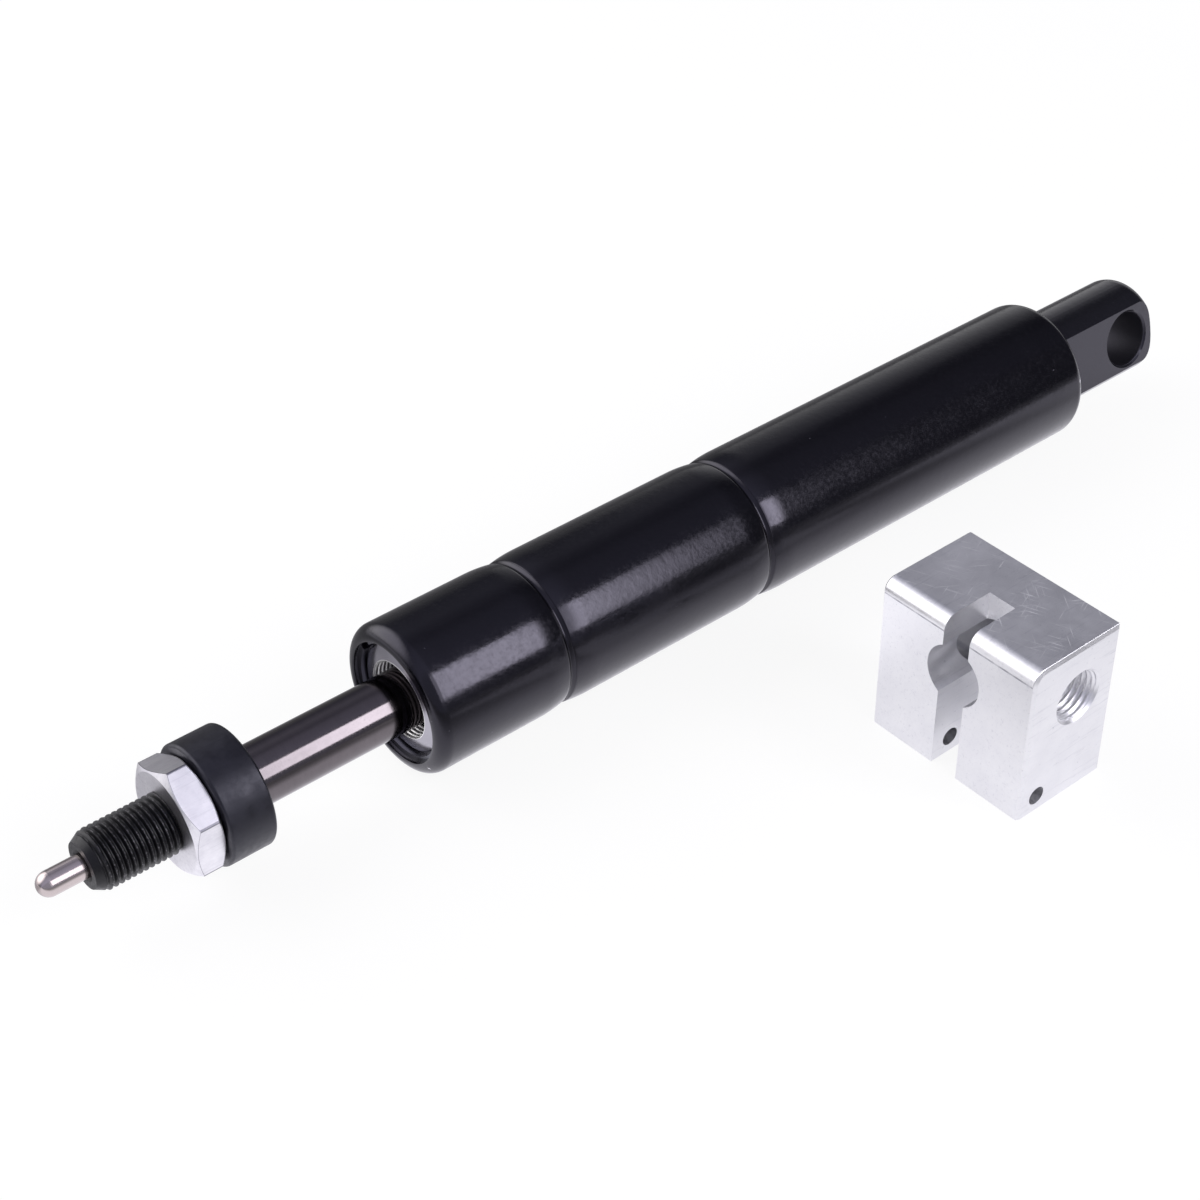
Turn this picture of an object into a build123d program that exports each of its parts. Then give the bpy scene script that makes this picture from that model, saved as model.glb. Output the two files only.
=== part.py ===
from build123d import *
import math
import os

# Lockable gas spring with its release head, in millimetres.
# X runs along the spring from the eye to the release pin, Z is up, and the origin is
# the centre of the eye. The spring lies on its tube, fully extended, and the release
# head stands beside it, taken off the rod.

# Tube
tube_diameter = 26.0
tube_wall = 1.5
tube_length = 147.4
eye_to_tube = 18.9
front_corner_radius = 2.4
rear_corner_radius = 2.2
front_lip_thickness = 1.1
front_lip_width = 2.6
rear_lip_thickness = 1.5
rear_lip_gap = 0.4
groove_shoulder_width = 10.0
groove_shoulder_depth = 0.38
groove_width = 1.3
groove_depth = 0.85
bead_width = 3.4
bead_height = 0.6
bead_to_piston = 0.7

# Eye lug and the plug that it screws into
eye_hole_diameter = 10.4
eye_bar_diameter = 18.0
eye_flat_thickness = 13.4
eye_end_distance = 7.0
eye_end_rounding = 3.0
eye_flat_stop = 0.5
eye_hole_chamfer = 0.4
eye_roll = 13.3
eye_stud_diameter = 8.0
eye_stud_length = 6.0
end_plug_length = 8.0

# Rod, release pin and their ends
rod_diameter = 10.0
thread_diameter = 9.9
thread_core_diameter = 8.9
thread_free_length = 13.9
thread_chamfer = 1.1
thread_chamfer_length = 2.0
pin_diameter = 4.0
pin_protrusion = 7.4
pin_mouth_diameter = 5.2
pin_mouth_depth = 0.6
release_travel = 2.5
pin_end_gap = 0.4
stroke = 27.6
stroke_end_gap = 0.3

# Rubber stop ring and jam nut
stop_ring_diameter = 20.3
stop_ring_length = 7.8
stop_ring_rounding = 0.5
nut_across_flats = 17.0
nut_thickness = 5.0
nut_corner_angle = 83.65
nut_face_diameter = 16.5
nut_chamfer_angle = 30.0
nut_face_gap = 0.1
nut_corner_rounding = 0.25

# Piston and the lock valve in it
piston_length = 11.0
piston_gap_to_bead = 0.2
spigot_diameter = 8.0
spigot_length = 5.5
valve_bore_diameter = 8.0
valve_stem_diameter = 3.0
valve_head_diameter = 5.4
valve_head_thickness = 1.0
valve_cone_length = 1.5
valve_seat_length = 4.0
valve_seat_gap = 0.05
valve_port_diameter = 1.2
valve_port_count = 3
valve_port_place = 2.0
valve_seat_seal_section = 0.8
valve_seat_seal_place = 0.65
gallery_diameter = 14.4
gallery_width = 1.4
passage_diameter = 1.6
passage_circle = 12.2
wear_band_width = 2.6
wear_band_depth = 0.9
wear_band_place = 1.6
piston_seal_section = 2.0
piston_seal_place = 6.4
valve_retainer_width = 0.9
valve_retainer_depth = 0.8
static_seal_section = 1.2
stem_seal_section = 1.1

# Floating piston
floating_piston_length = 10.0
floating_piston_gap = 0.4
floating_seal_section = 2.0
floating_seal_inset = 2.6
floating_cup_diameter = 15.0
floating_cup_depth = 5.0

# Guide and seal pack at the rod's exit
support_ring_thickness = 2.0
rod_seal_length = 5.5
rod_seal_lip_depth = 1.6
rod_seal_lip_gap = 1.4
backup_ring_thickness = 1.5
rod_guide_length = 9.3
rod_guide_bore = 12.4
guide_bush_inset = 0.6
guide_seal_section = 2.0
cap_length = 3.6
cap_shoulder_step = 0.6
cap_face_gap = 1.0
cap_face_rounding = 0.3
cap_crown = 0.7
cap_bore_diameter = 13.5
wiper_diameter = 15.0
wiper_thickness = 1.4
retaining_ring_show = 0.65
retaining_ring_thickness = 1.5
retaining_ring_gap = 2.5
retaining_ring_gap_angle = 142.0

# Release head, standing beside the tube
head_width = 31.0
head_depth = 19.0
head_height = 29.0
head_setback = 74.3
head_standoff = 28.5
head_edge_rounding = 2.4
head_edge_break = 0.35
head_slot_width = 5.2
head_slot_depth = 9.8
head_bore_diameter = 10.6
head_bore_depth = 15.6
head_bore_below_top = 9.7
head_thread_diameter = 9.0
head_thread_setback = 8.0
head_thread_below_top = 9.9
head_thread_blind_wall = 5.0
head_thread_chamfer = 0.4
head_cross_hole_diameter = 3.2
head_cross_hole_setback = 4.0
head_cross_hole_height = 3.0

# Clearances on the radius, and how far a cutting shape reaches past a surface
running_clearance = 0.05
pin_clearance = 0.06
seat_clearance = 0.02
valve_clearance = 0.2
cut_reach = 1.0

# Radii and places along X that follow from the sizes above
tube_radius = tube_diameter / 2
bore_radius = tube_radius - tube_wall
seat_radius = bore_radius - seat_clearance
sliding_radius = bore_radius - running_clearance
rod_radius = rod_diameter / 2
rod_fit_radius = rod_radius + running_clearance
rod_clear_radius = rod_fit_radius + running_clearance
pin_radius = pin_diameter / 2
pin_bore_radius = pin_radius + pin_clearance
front_lip_radius = tube_radius - front_lip_width
rear_lip_radius = eye_bar_diameter / 2 + rear_lip_gap
cap_face_radius = front_lip_radius - cap_face_gap

tube_rear = eye_to_tube
tube_front = tube_rear + tube_length
lip_inner_face = tube_front - front_lip_thickness

plug_rear = tube_rear + rear_lip_thickness
plug_front = plug_rear + end_plug_length

cap_shoulder = lip_inner_face - retaining_ring_thickness
cap_face = cap_shoulder + cap_shoulder_step
guide_front = cap_shoulder - cap_length
guide_rear = guide_front - rod_guide_length
backup_rear = guide_rear - backup_ring_thickness
rod_seal_rear = backup_rear - rod_seal_length
support_ring_rear = rod_seal_rear - support_ring_thickness
front_groove = support_ring_rear - seat_clearance - bead_width / 2

ring_rear = tube_front + stroke + stroke_end_gap
ring_front = ring_rear + stop_ring_length
nut_front = ring_front + nut_face_gap + nut_thickness
rod_nose = nut_front + thread_free_length
pin_tip = rod_nose + pin_protrusion

piston_front = front_groove - bead_width / 2 - piston_gap_to_bead
piston_rear = piston_front - piston_length
spigot_end = piston_front - spigot_length
valve_seat_front = spigot_end
valve_seat_rear = valve_seat_front - valve_seat_length
valve_port_x = valve_seat_front - valve_port_place
tappet_front = valve_seat_front + release_travel + pin_end_gap

middle_groove = piston_rear - stroke - bead_to_piston - bead_width / 2
floating_front = middle_groove - bead_width / 2 - floating_piston_gap
floating_rear = floating_front - floating_piston_length

os.makedirs("parts", exist_ok=True)


def ring_section(start, end, inner_radius, outer_radius):
    """A rectangle that gives a ring from start to end when it is turned about X."""
    with BuildSketch(Plane.XZ) as section:
        with Locations(((start + end) / 2, (inner_radius + outer_radius) / 2)):
            Rectangle(end - start, outer_radius - inner_radius)
    return section.sketch


def outline_section(*points):
    """A straight-sided outline of (x, radius) points, to be turned about X."""
    with BuildSketch(Plane.XZ) as section:
        with BuildLine():
            Polyline(*points, close=True)
        make_face()
    return section.sketch


def seal_section(centre, inner_radius, width):
    """The round section of an O-ring that sits on inner_radius."""
    with BuildSketch(Plane.XZ) as section:
        with Locations((centre, inner_radius + width / 2)):
            Circle(width / 2)
    return section.sketch


def groove_section(centre):
    """The dip that rolling leaves outside the tube: two long shoulders and a narrow groove."""
    far = groove_shoulder_width / 2
    near = groove_width / 2
    shoulder_end = tube_radius - groove_shoulder_depth
    with BuildSketch(Plane.XZ) as section:
        with BuildLine():
            rear = TangentArc((centre - far, tube_radius), (centre - near, shoulder_end), tangent=(1, 0))
            dip = ThreePointArc(
                rear @ 1,
                (centre, tube_radius - groove_depth),
                (centre + near, shoulder_end),
            )
            front = TangentArc((centre + far, tube_radius), dip @ 1, tangent=(-1, 0))
            Polyline(
                front @ 0,
                (centre + far, tube_radius + cut_reach),
                (centre - far, tube_radius + cut_reach),
                rear @ 0,
            )
        make_face()
    return section.sketch


def bead_section(centre):
    """The bead that a rolled groove raises inside the tube."""
    root = bore_radius + tube_wall / 2
    half_width = bead_width / 2
    with BuildSketch(Plane.XZ) as section:
        with BuildLine():
            crown = ThreePointArc(
                (centre - half_width, bore_radius),
                (centre, bore_radius - bead_height),
                (centre + half_width, bore_radius),
            )
            Polyline(crown @ 1, (centre + half_width, root), (centre - half_width, root), crown @ 0)
        make_face()
    return section.sketch


def across(turn):
    """The direction that lies turn degrees from +Y towards +Z."""
    return (0, math.cos(math.radians(turn)), math.sin(math.radians(turn)))


def rod_plane(x, turn=0):
    """A plane square to the rod at x, its own x at turn degrees and its normal along +X."""
    return Plane(origin=(x, 0, 0), x_dir=across(turn), z_dir=(1, 0, 0))


# Pressure tube, rolled in at both ends and grooved in two places
with BuildPart() as pressure_tube:
    with BuildSketch(Plane.XZ) as tube_section:
        with BuildLine():
            Polyline(
                (tube_rear, rear_lip_radius),
                (tube_rear, tube_radius),
                (tube_front, tube_radius),
                (tube_front, front_lip_radius),
                (lip_inner_face, front_lip_radius),
                (lip_inner_face, bore_radius),
                (plug_rear, bore_radius),
                (plug_rear, rear_lip_radius),
                close=True,
            )
        make_face()
        fillet(tube_section.vertices().group_by(Axis.Y)[-1].sort_by(Axis.X)[-1], front_corner_radius)
        fillet(tube_section.vertices().group_by(Axis.X)[0].sort_by(Axis.Y)[-1], rear_corner_radius)
    revolve(axis=Axis.X)
    for groove in (front_groove, middle_groove):
        revolve(bead_section(groove), axis=Axis.X)
        revolve(groove_section(groove), axis=Axis.X, mode=Mode.SUBTRACT)

# End plug behind the rear lip, drilled for the eye lug's stud
plug_seal_x = (plug_rear + plug_front) / 2
plug_groove_radius = seat_radius - static_seal_section
with BuildPart() as end_plug:
    revolve(
        ring_section(plug_rear, plug_front, eye_stud_diameter / 2 + seat_clearance, seat_radius),
        axis=Axis.X,
    )
    revolve(
        ring_section(
            plug_seal_x - static_seal_section / 2,
            plug_seal_x + static_seal_section / 2,
            plug_groove_radius,
            tube_radius,
        ),
        axis=Axis.X,
        mode=Mode.SUBTRACT,
    )

with BuildPart() as end_plug_seal:
    revolve(seal_section(plug_seal_x, plug_groove_radius, static_seal_section), axis=Axis.X)

# Eye lug: a turned bar with a rounded end, two flats, a cross hole and a stud
flat_end = tube_rear + eye_flat_stop
with BuildPart() as eye_lug:
    with BuildSketch(Plane.XZ) as bar_section:
        with BuildLine():
            Polyline(
                (-eye_end_distance, 0),
                (-eye_end_distance, eye_bar_diameter / 2),
                (plug_rear, eye_bar_diameter / 2),
                (plug_rear, eye_stud_diameter / 2),
                (plug_rear + eye_stud_length, eye_stud_diameter / 2),
                (plug_rear + eye_stud_length, 0),
                close=True,
            )
        make_face()
        end_corner = bar_section.vertices().group_by(Axis.X)[0].sort_by(Axis.Y)[-1]
        fillet(end_corner, eye_end_rounding)
    revolve(axis=Axis.X)
    with BuildSketch(rod_plane(flat_end, eye_roll)):
        Rectangle(eye_bar_diameter * 2, eye_bar_diameter * 2)
        Rectangle(eye_flat_thickness, eye_bar_diameter * 2, mode=Mode.SUBTRACT)
    extrude(amount=-(flat_end + eye_bar_diameter), mode=Mode.SUBTRACT)
    with BuildSketch(Plane(origin=(0, 0, 0), x_dir=(1, 0, 0), z_dir=across(eye_roll))):
        Circle(eye_hole_diameter / 2)
    extrude(amount=eye_bar_diameter, both=True, mode=Mode.SUBTRACT)
    flat_faces = eye_lug.faces().filter_by(Axis((0, 0, 0), across(eye_roll)))
    hole_rims = flat_faces.edges().filter_by(GeomType.CIRCLE).group_by(SortBy.RADIUS)
    chamfer(hole_rims[0], eye_hole_chamfer)

# Floating piston between the gas and the oil, dished on the gas side
floating_groove_radius = sliding_radius - floating_seal_section
floating_seal_places = (floating_rear + floating_seal_inset, floating_front - floating_seal_inset)
with BuildPart() as floating_piston:
    revolve(ring_section(floating_rear, floating_front, 0, sliding_radius), axis=Axis.X)
    revolve(
        ring_section(floating_rear, floating_rear + floating_cup_depth, 0, floating_cup_diameter / 2),
        axis=Axis.X,
        mode=Mode.SUBTRACT,
    )
    for place in floating_seal_places:
        revolve(
            ring_section(
                place - floating_seal_section / 2,
                place + floating_seal_section / 2,
                floating_groove_radius,
                tube_radius,
            ),
            axis=Axis.X,
            mode=Mode.SUBTRACT,
        )

floating_seals = {}
for seal_name, place in zip(("floating_seal_rear", "floating_seal_front"), floating_seal_places):
    with BuildPart() as floating_seal:
        revolve(seal_section(place, floating_groove_radius, floating_seal_section), axis=Axis.X)
    floating_seals[seal_name] = floating_seal

# Piston on the end of the rod, with a gallery and passages round the lock valve
wear_band_start = piston_rear + wear_band_place
piston_seal_x = piston_rear + piston_seal_place
piston_groove_radius = sliding_radius - piston_seal_section
retainer_start = valve_seat_rear - valve_retainer_width
retainer_radius = valve_bore_diameter / 2 + valve_retainer_depth
with BuildPart() as piston_body:
    revolve(ring_section(piston_rear, piston_front, valve_bore_diameter / 2, sliding_radius), axis=Axis.X)
    revolve(
        ring_section(
            wear_band_start,
            wear_band_start + wear_band_width,
            sliding_radius - wear_band_depth,
            tube_radius,
        ),
        axis=Axis.X,
        mode=Mode.SUBTRACT,
    )
    revolve(
        ring_section(
            piston_seal_x - piston_seal_section / 2,
            piston_seal_x + piston_seal_section / 2,
            piston_groove_radius,
            tube_radius,
        ),
        axis=Axis.X,
        mode=Mode.SUBTRACT,
    )
    revolve(
        ring_section(
            valve_port_x - gallery_width / 2,
            valve_port_x + gallery_width / 2,
            0,
            gallery_diameter / 2,
        ),
        axis=Axis.X,
        mode=Mode.SUBTRACT,
    )
    revolve(
        ring_section(retainer_start, retainer_start + valve_retainer_width, 0, retainer_radius),
        axis=Axis.X,
        mode=Mode.SUBTRACT,
    )
    with BuildSketch(rod_plane(piston_front)):
        with PolarLocations(passage_circle / 2, valve_port_count):
            Circle(passage_diameter / 2)
    extrude(amount=-(piston_front - valve_port_x), mode=Mode.SUBTRACT)

with BuildPart() as piston_wear_band:
    revolve(
        ring_section(
            wear_band_start,
            wear_band_start + wear_band_width,
            sliding_radius - wear_band_depth,
            sliding_radius,
        ),
        axis=Axis.X,
    )

with BuildPart() as piston_seal:
    revolve(seal_section(piston_seal_x, piston_groove_radius, piston_seal_section), axis=Axis.X)

# Valve seat: a sleeve with a cone at its rear mouth and three ports into the gallery
stem_radius = valve_stem_diameter / 2
valve_head_radius = valve_head_diameter / 2
seat_bore_radius = stem_radius + valve_clearance
seat_outer_radius = valve_bore_diameter / 2 - seat_clearance
stem_seal_start = valve_seat_front - stem_seal_section
seat_seal_x = valve_seat_rear + valve_seat_seal_place
seat_groove_radius = seat_outer_radius - valve_seat_seal_section
cone_start = valve_seat_rear + valve_cone_length - valve_seat_gap
with BuildPart() as valve_seat:
    revolve(
        outline_section(
            (valve_seat_rear, valve_head_radius),
            (valve_seat_rear, seat_outer_radius),
            (valve_seat_front, seat_outer_radius),
            (valve_seat_front, stem_radius + stem_seal_section),
            (stem_seal_start, stem_radius + stem_seal_section),
            (stem_seal_start, seat_bore_radius),
            (cone_start, seat_bore_radius),
        ),
        axis=Axis.X,
    )
    for port in range(valve_port_count):
        port_plane = Plane(
            origin=(valve_port_x, 0, 0),
            x_dir=(1, 0, 0),
            z_dir=across(port * 360 / valve_port_count),
        )
        with BuildSketch(port_plane):
            Circle(valve_port_diameter / 2)
        extrude(amount=valve_bore_diameter / 2, mode=Mode.SUBTRACT)
    revolve(
        ring_section(
            seat_seal_x - valve_seat_seal_section / 2,
            seat_seal_x + valve_seat_seal_section / 2,
            seat_groove_radius,
            valve_bore_diameter / 2,
        ),
        axis=Axis.X,
        mode=Mode.SUBTRACT,
    )

with BuildPart() as valve_seat_seal:
    revolve(seal_section(seat_seal_x, seat_groove_radius, valve_seat_seal_section), axis=Axis.X)

with BuildPart() as valve_stem_seal:
    revolve(
        ring_section(
            stem_seal_start,
            valve_seat_front,
            stem_radius + running_clearance,
            stem_radius + stem_seal_section,
        ),
        axis=Axis.X,
    )

# Tappet: its cone closes the seat from behind until the pin pushes it back
tappet_cone_rear = valve_seat_rear - valve_seat_gap
tappet_rear = tappet_cone_rear - valve_head_thickness
with BuildPart() as valve_tappet:
    revolve(
        outline_section(
            (tappet_rear, 0),
            (tappet_rear, valve_head_radius - valve_seat_gap),
            (tappet_cone_rear, valve_head_radius - valve_seat_gap),
            (tappet_cone_rear + valve_cone_length - valve_seat_gap, stem_radius),
            (tappet_front, stem_radius),
            (tappet_front, 0),
        ),
        axis=Axis.X,
    )

with BuildPart() as valve_retainer:
    revolve(
        ring_section(
            retainer_start,
            retainer_start + valve_retainer_width,
            valve_head_radius + valve_clearance,
            retainer_radius - seat_clearance,
        ),
        axis=Axis.X,
    )

# Hollow rod: spigot in the piston, bare rod, threaded end with a chamfered nose.
# Under the nut the rod is as thick as the thread's core, which is what the nut's bore clears.
thread_radius = thread_diameter / 2
core_radius = thread_core_diameter / 2
thread_start = ring_front + nut_face_gap
full_thread_start = nut_front + nut_face_gap
with BuildPart() as piston_rod:
    revolve(
        outline_section(
            (spigot_end, pin_bore_radius),
            (spigot_end, spigot_diameter / 2 - seat_clearance),
            (piston_front, spigot_diameter / 2 - seat_clearance),
            (piston_front, rod_radius),
            (thread_start, rod_radius),
            (thread_start, core_radius),
            (full_thread_start, core_radius),
            (full_thread_start, thread_radius),
            (rod_nose - thread_chamfer_length, thread_radius),
            (rod_nose, thread_radius - thread_chamfer),
            (rod_nose, pin_mouth_diameter / 2),
            (rod_nose - pin_mouth_depth, pin_bore_radius),
        ),
        axis=Axis.X,
    )

# Release pin through the whole rod, with a round tip
with BuildPart() as release_pin:
    with BuildSketch(Plane.XZ):
        with BuildLine():
            tip_arc = CenterArc((pin_tip - pin_radius, 0), pin_radius, 0, 90)
            Polyline(tip_arc @ 1, (tappet_front, pin_radius), (tappet_front, 0), tip_arc @ 0)
        make_face()
    revolve(axis=Axis.X)

# Rubber stop ring on the rod, its edges rounded
with BuildPart() as stop_ring:
    revolve(
        ring_section(ring_rear, ring_front, rod_radius + seat_clearance, stop_ring_diameter / 2),
        axis=Axis.X,
    )
    outer_edges = stop_ring.edges().filter_by(GeomType.CIRCLE).group_by(SortBy.RADIUS)[-1]
    fillet(outer_edges, stop_ring_rounding)

# Jam nut: a hexagon whose corners are turned off at both faces
nut_rear = thread_start
nut_bore_radius = core_radius + running_clearance
nut_corner_radius = nut_across_flats / 2 / math.cos(math.radians(30))
nut_face_radius = nut_face_diameter / 2
nut_corner_drop = (nut_corner_radius - nut_face_radius) * math.tan(math.radians(nut_chamfer_angle))
with BuildPart() as jam_nut:
    with BuildSketch(rod_plane(nut_rear)) as nut_section:
        RegularPolygon(nut_across_flats / 2, 6, major_radius=False, rotation=nut_corner_angle)
        fillet(nut_section.vertices(), nut_corner_rounding)
        Circle(nut_bore_radius, mode=Mode.SUBTRACT)
    extrude(amount=nut_thickness)
    revolve(
        outline_section(
            (nut_rear, 0),
            (nut_rear, nut_face_radius),
            (nut_rear + nut_corner_drop, nut_corner_radius),
            (nut_front - nut_corner_drop, nut_corner_radius),
            (nut_front, nut_face_radius),
            (nut_front, 0),
        ),
        axis=Axis.X,
        mode=Mode.INTERSECT,
    )

# Guide and seal pack, from the bead of the front groove to the cap
with BuildPart() as seal_support_ring:
    revolve(
        ring_section(support_ring_rear, rod_seal_rear, rod_clear_radius, seat_radius),
        axis=Axis.X,
    )

lip_middle = (rod_fit_radius + seat_radius) / 2
with BuildPart() as rod_seal:
    revolve(ring_section(rod_seal_rear, backup_rear, rod_fit_radius, seat_radius), axis=Axis.X)
    revolve(
        ring_section(
            rod_seal_rear,
            rod_seal_rear + rod_seal_lip_depth,
            lip_middle - rod_seal_lip_gap / 2,
            lip_middle + rod_seal_lip_gap / 2,
        ),
        axis=Axis.X,
        mode=Mode.SUBTRACT,
    )

with BuildPart() as seal_backup_ring:
    revolve(ring_section(backup_rear, guide_rear, rod_fit_radius, seat_radius), axis=Axis.X)

guide_seal_x = (guide_rear + guide_front) / 2
guide_groove_radius = seat_radius - guide_seal_section
bush_start = guide_rear + guide_bush_inset
with BuildPart() as rod_guide:
    revolve(ring_section(guide_rear, guide_front, rod_guide_bore / 2, seat_radius), axis=Axis.X)
    revolve(
        ring_section(guide_rear, bush_start, rod_clear_radius, rod_guide_bore / 2),
        axis=Axis.X,
    )
    revolve(
        ring_section(
            guide_seal_x - guide_seal_section / 2,
            guide_seal_x + guide_seal_section / 2,
            guide_groove_radius,
            tube_radius,
        ),
        axis=Axis.X,
        mode=Mode.SUBTRACT,
    )

with BuildPart() as rod_guide_seal:
    revolve(seal_section(guide_seal_x, guide_groove_radius, guide_seal_section), axis=Axis.X)

with BuildPart() as guide_bush:
    revolve(
        ring_section(bush_start, guide_front, rod_fit_radius, rod_guide_bore / 2 - seat_clearance),
        axis=Axis.X,
    )

wiper_front = guide_front + wiper_thickness
with BuildPart() as rod_wiper:
    revolve(
        ring_section(guide_front, wiper_front, rod_fit_radius, wiper_diameter / 2 - seat_clearance),
        axis=Axis.X,
    )

# End cap: a slightly crowned face round a wide bore that opens onto the wiper
cap_bore_radius = cap_bore_diameter / 2
with BuildPart() as end_cap:
    revolve(
        outline_section(
            (guide_front, wiper_diameter / 2),
            (guide_front, seat_radius),
            (cap_shoulder, seat_radius),
            (cap_shoulder, cap_face_radius),
            (cap_face, cap_face_radius),
            (cap_face + cap_crown, cap_bore_radius),
            (wiper_front, cap_bore_radius),
            (wiper_front, wiper_diameter / 2),
        ),
        axis=Axis.X,
    )
    face_edge = end_cap.edges().filter_by(GeomType.CIRCLE).group_by(Axis.X)[-2]
    fillet(face_edge, cap_face_rounding)

# Split retaining ring between the cap's shoulder and the rolled lip
with BuildPart() as retaining_ring:
    revolve(
        ring_section(
            cap_shoulder,
            lip_inner_face,
            front_lip_radius - retaining_ring_show,
            seat_radius,
        ),
        axis=Axis.X,
    )
    with BuildSketch(rod_plane(cap_shoulder, retaining_ring_gap_angle)):
        with Locations((tube_radius, 0)):
            Rectangle(tube_radius, retaining_ring_gap)
    extrude(amount=tube_radius, mode=Mode.SUBTRACT)

# Release head: a milled block that stands on the same surface as the tube
head_base = -tube_radius
head_centre_x = tube_front - head_setback
head_centre_y = tube_radius + head_standoff + head_width / 2
head_top = head_base + head_height
head_face = head_centre_x + head_depth / 2
head_side = head_centre_y + head_width / 2
head_bore_z = head_top - head_bore_below_top
head_thread_x = head_centre_x - head_depth / 2 + head_thread_setback
head_thread_z = head_top - head_thread_below_top
head_cross_x = head_face - head_cross_hole_setback
with BuildPart() as release_head:
    with BuildSketch(Plane.XY.offset(head_base)):
        with Locations((head_centre_x, head_centre_y)):
            Rectangle(head_depth, head_width)
    extrude(amount=head_height)
    top_front_edge = release_head.edges().filter_by(Axis.Y).group_by(Axis.Z)[-1].sort_by(Axis.X)[-1]
    fillet(top_front_edge, head_edge_rounding)
    upright_edges = release_head.edges().filter_by(Axis.Z)
    chamfer(upright_edges, head_edge_break)
    with BuildSketch(Plane.XY.offset(head_base)):
        with Locations((head_face - head_slot_depth / 2, head_centre_y)):
            Rectangle(head_slot_depth, head_slot_width)
    extrude(amount=head_height, mode=Mode.SUBTRACT)
    with BuildSketch(rod_plane(head_face)):
        with Locations((head_centre_y, head_bore_z)):
            Circle(head_bore_diameter / 2)
    extrude(amount=-head_bore_depth, mode=Mode.SUBTRACT)
    side_plane = Plane(origin=(0, head_side, 0), x_dir=(1, 0, 0), z_dir=(0, 1, 0))
    with BuildSketch(side_plane):
        with Locations((head_thread_x, -head_thread_z)):
            Circle(head_thread_diameter / 2)
    extrude(amount=-(head_width - head_thread_blind_wall), mode=Mode.SUBTRACT)
    thread_mouth = release_head.faces().sort_by(Axis.Y)[-1].edges().filter_by(GeomType.CIRCLE)
    chamfer(thread_mouth, head_thread_chamfer)
    with BuildSketch(side_plane):
        with Locations((head_cross_x, -(head_base + head_cross_hole_height))):
            Circle(head_cross_hole_diameter / 2)
    extrude(amount=-head_width, mode=Mode.SUBTRACT)

pieces = {
    "pressure_tube": pressure_tube,
    "end_plug": end_plug,
    "end_plug_seal": end_plug_seal,
    "eye_lug": eye_lug,
    "floating_piston": floating_piston,
    **floating_seals,
    "piston_body": piston_body,
    "piston_wear_band": piston_wear_band,
    "piston_seal": piston_seal,
    "valve_seat": valve_seat,
    "valve_seat_seal": valve_seat_seal,
    "valve_stem_seal": valve_stem_seal,
    "valve_tappet": valve_tappet,
    "valve_retainer": valve_retainer,
    "piston_rod": piston_rod,
    "release_pin": release_pin,
    "stop_ring": stop_ring,
    "jam_nut": jam_nut,
    "seal_support_ring": seal_support_ring,
    "rod_seal": rod_seal,
    "seal_backup_ring": seal_backup_ring,
    "rod_guide": rod_guide,
    "rod_guide_seal": rod_guide_seal,
    "guide_bush": guide_bush,
    "rod_wiper": rod_wiper,
    "end_cap": end_cap,
    "retaining_ring": retaining_ring,
    "release_head": release_head,
}
for piece_name, piece in pieces.items():
    piece.part.label = piece_name
    export_step(piece.part, "parts/" + piece_name + ".step")
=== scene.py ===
import math

import bmesh
import bpy
from mathutils import Matrix, Vector


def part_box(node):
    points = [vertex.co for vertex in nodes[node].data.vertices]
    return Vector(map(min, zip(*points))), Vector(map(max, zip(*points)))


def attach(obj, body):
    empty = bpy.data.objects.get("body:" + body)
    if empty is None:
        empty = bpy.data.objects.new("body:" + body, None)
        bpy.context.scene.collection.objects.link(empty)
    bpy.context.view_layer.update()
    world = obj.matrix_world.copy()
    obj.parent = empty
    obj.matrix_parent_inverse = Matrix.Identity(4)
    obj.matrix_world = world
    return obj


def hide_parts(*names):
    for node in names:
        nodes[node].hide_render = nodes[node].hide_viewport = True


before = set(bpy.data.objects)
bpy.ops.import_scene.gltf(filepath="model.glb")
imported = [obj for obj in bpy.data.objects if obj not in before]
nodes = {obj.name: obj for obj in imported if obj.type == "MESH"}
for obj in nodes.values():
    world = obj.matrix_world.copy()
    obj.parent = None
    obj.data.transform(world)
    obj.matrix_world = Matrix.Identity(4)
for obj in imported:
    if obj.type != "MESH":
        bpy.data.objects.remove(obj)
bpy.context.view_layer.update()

# Places that the frame gives, in metres; the spring lies along X
TUBE_LOW, TUBE_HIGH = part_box("pressure_tube")
HEAD_LOW, HEAD_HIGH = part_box("release_head")
ROD_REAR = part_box("piston_rod")[0].x
ROD_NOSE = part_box("piston_rod")[1].x
NUT_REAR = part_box("jam_nut")[0].x
NUT_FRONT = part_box("jam_nut")[1].x
CAP_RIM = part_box("end_cap")[1].x
FLOOR_Z = TUBE_LOW.z

# Sizes of the solids that their boxes don't give
SEAT_CLEARANCE = 0.00002
BEAD_HALF = 0.0017
BEAD_HEIGHT = 0.0006
SEPARATOR_GAP = 0.0004
TUBE_RADIUS = min(-TUBE_LOW.y, -TUBE_LOW.z, TUBE_HIGH.y, TUBE_HIGH.z)
TUBE_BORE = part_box("rod_guide")[1].y + SEAT_CLEARANCE
FRONT_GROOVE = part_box("seal_support_ring")[0].x - SEAT_CLEARANCE - BEAD_HALF
MIDDLE_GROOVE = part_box("floating_piston")[1].x + SEPARATOR_GAP + BEAD_HALF
REAR_CORNER, FRONT_CORNER = 0.0022, 0.0024
REAR_LIP_RADIUS, FRONT_LIP_RADIUS = 0.0094, 0.0104
REAR_LIP, FRONT_LIP = 0.0015, 0.0011
GROOVE_SHOULDER_HALF = 0.0050
GROOVE_SHOULDER_DEPTH = 0.00038
GROOVE_DEPTH = 0.00085
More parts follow.
